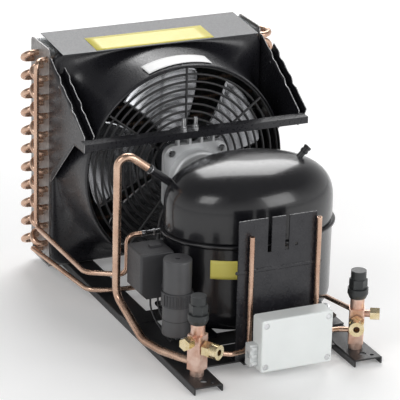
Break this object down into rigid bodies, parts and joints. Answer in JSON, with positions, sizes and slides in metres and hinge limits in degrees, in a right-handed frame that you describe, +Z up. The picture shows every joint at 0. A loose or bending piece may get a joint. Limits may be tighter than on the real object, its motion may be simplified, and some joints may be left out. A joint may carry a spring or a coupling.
{
  "type": "refrigeration condensing unit",
  "caption": "Air-cooled refrigeration condensing unit on two rails, with a hermetic compressor, a finned coil, a shrouded axial fan, service valves and a wiring box.",
  "frame": {"origin": "on the floor under the unit, midway between the two rails and midway along them", "axes": "+Z up; -Y towards the valve end; +Y towards the condenser; +X right, seen from the valve end"},
  "size_m": [0.3466, 0.463, 0.3103],
  "materials": {
    "rail_paint": "satin black powder coat on folded steel",
    "shroud_paint": "satin black paint on drawn sheet steel",
    "cover_paint": "dark grey satin paint",
    "bracket_paint": "black wrinkle paint",
    "compressor_paint": "gloss black enamel",
    "guard_wire": "black dipped wire",
    "galvanised": "galvanised sheet",
    "fin_aluminium": "mill finish fins",
    "blade_aluminium": "mill finish sheet",
    "cast_aluminium": "die cast",
    "copper": null,
    "winding_copper": null,
    "valve_bronze": "forged copper alloy, heat tinted",
    "brass": "machined brass",
    "zinc": "zinc plated",
    "ground_steel": "ground steel",
    "core_steel": "stacked electrical steel",
    "cast_iron": "machined grey iron",
    "cap_plastic": "moulded black plastic",
    "box_plastic": "moulded pale grey plastic",
    "gland_plastic": "moulded grey plastic",
    "starter_plastic": "moulded dark grey plastic",
    "capacitor_plastic": "moulded dark grey plastic",
    "rubber": "black rubber",
    "cable_sheath": "black cable sheath"
  },
  "bodies": {
    "unit": {"cable_entry": "gland_plastic", "condenser_tubes": "copper", "control_bracket": "bracket_paint", "core_sill": "galvanised", "cross_members": "rail_paint", "cylinder_block": "cast_iron", "cylinder_head": "cast_iron", "discharge_pipe": "copper", "end_plate_left": "galvanised", "end_plate_right": "galvanised", "fan_guard": "guard_wire", "fan_shroud": "shroud_paint", "fin_pack": "fin_aluminium", "flare_nuts": "brass", "foot_bolts": "zinc", "foot_plates": "compressor_paint", "gauge_tubes": "copper", "junction_box": "box_plastic", "junction_lid": "box_plastic", "lid_screws": "zinc", "liquid_pipe": "copper", "motor_bar": "shroud_paint", "motor_frame": "cast_aluminium", "motor_housing": "cast_aluminium", "motor_screws": "zinc", "motor_stator": "core_steel", "rail_left": "rail_paint", "rail_right": "rail_paint", "return_bends_left": "copper", "return_bends_right": "copper", "rubber_grommets": "rubber", "shell_lower": "compressor_paint", "shell_stubs": "copper", "shell_upper": "compressor_paint", "side_cheek_left": "shroud_paint", "side_cheek_right": "shroud_paint", "start_capacitor": "capacitor_plastic", "starter_box": "starter_plastic", "starter_cover": "starter_plastic", "stator": "core_steel", "suction_pipe": "copper", "suspension_springs": "ground_steel", "top_cover": "cover_paint", "valve_bodies": "valve_bronze", "windings": "winding_copper", "wiring": "cable_sheath"},
    "fan": {"fan_shaft": "ground_steel", "fan_hub": "blade_aluminium", "fan_blades": "blade_aluminium", "motor_rotor": "core_steel"},
    "crank": {"crankshaft": "ground_steel", "rotor": "core_steel"},
    "rod": {"connecting_rod": "cast_aluminium"},
    "piston": {"piston": "cast_iron"},
    "spindle_left": {"valve_spindle_left": "ground_steel"},
    "spindle_right": {"valve_spindle_right": "ground_steel"},
    "stem_cap_left": {"valve_cap_left": "cap_plastic"},
    "stem_cap_right": {"valve_cap_right": "cap_plastic"},
    "port_cap_left": {"flare_cap_left": "brass"},
    "port_cap_right": {"flare_cap_right": "brass"}
  },
  "joints": [
    {"name": "fan_spin", "type": "hinge", "parent": "unit", "child": "fan", "pos_m": [-0.00475, 0.096, 0.164], "axis": [0, 1, 0], "continuous": true},
    {"name": "crank_spin", "type": "hinge", "parent": "unit", "child": "crank", "pos_m": [0.01775, -0.0695, 0.1], "axis": [0, 0, 1], "continuous": true},
    {"name": "rod_swing", "type": "hinge", "parent": "crank", "child": "rod", "pos_m": [0.02575, -0.0695, 0.166], "axis": [0, 0, 1], "continuous": true},
    {"name": "piston_stroke", "type": "slide", "parent": "unit", "child": "piston", "axis": [1, 0, 0], "range_m": [-0.008, 0.008]},
    {"name": "stem_left_turn", "type": "hinge", "parent": "unit", "child": "spindle_left", "pos_m": [-0.10575, -0.197, 0.07], "axis": [0, 0, 1], "range_deg": [0, 1440]},
    {"name": "stem_cap_left_unscrew", "type": "hinge", "parent": "unit", "child": "stem_cap_left", "pos_m": [-0.10575, -0.197, 0.09], "axis": [0, 0, 1], "range_deg": [0, 1080]},
    {"name": "port_cap_left_unscrew", "type": "hinge", "parent": "unit", "child": "port_cap_left", "pos_m": [-0.12295, -0.20721, 0.0571], "axis": [-0.8599, -0.5105, 0], "range_deg": [0, 1080]},
    {"name": "stem_right_turn", "type": "hinge", "parent": "unit", "child": "spindle_right", "pos_m": [0.10575, -0.197, 0.07], "axis": [0, 0, 1], "range_deg": [0, 1440]},
    {"name": "stem_cap_right_unscrew", "type": "hinge", "parent": "unit", "child": "stem_cap_right", "pos_m": [0.10575, -0.197, 0.09], "axis": [0, 0, 1], "range_deg": [0, 1080]},
    {"name": "port_cap_right_unscrew", "type": "hinge", "parent": "unit", "child": "port_cap_right", "pos_m": [0.12344, -0.20633, 0.0546], "axis": [0.8846, -0.4664, 0], "range_deg": [0, 1080]}
  ],
  "couplings": [
    {"joint": "rod_swing", "follows": "crank_spin", "ratio": -1}
  ]
}
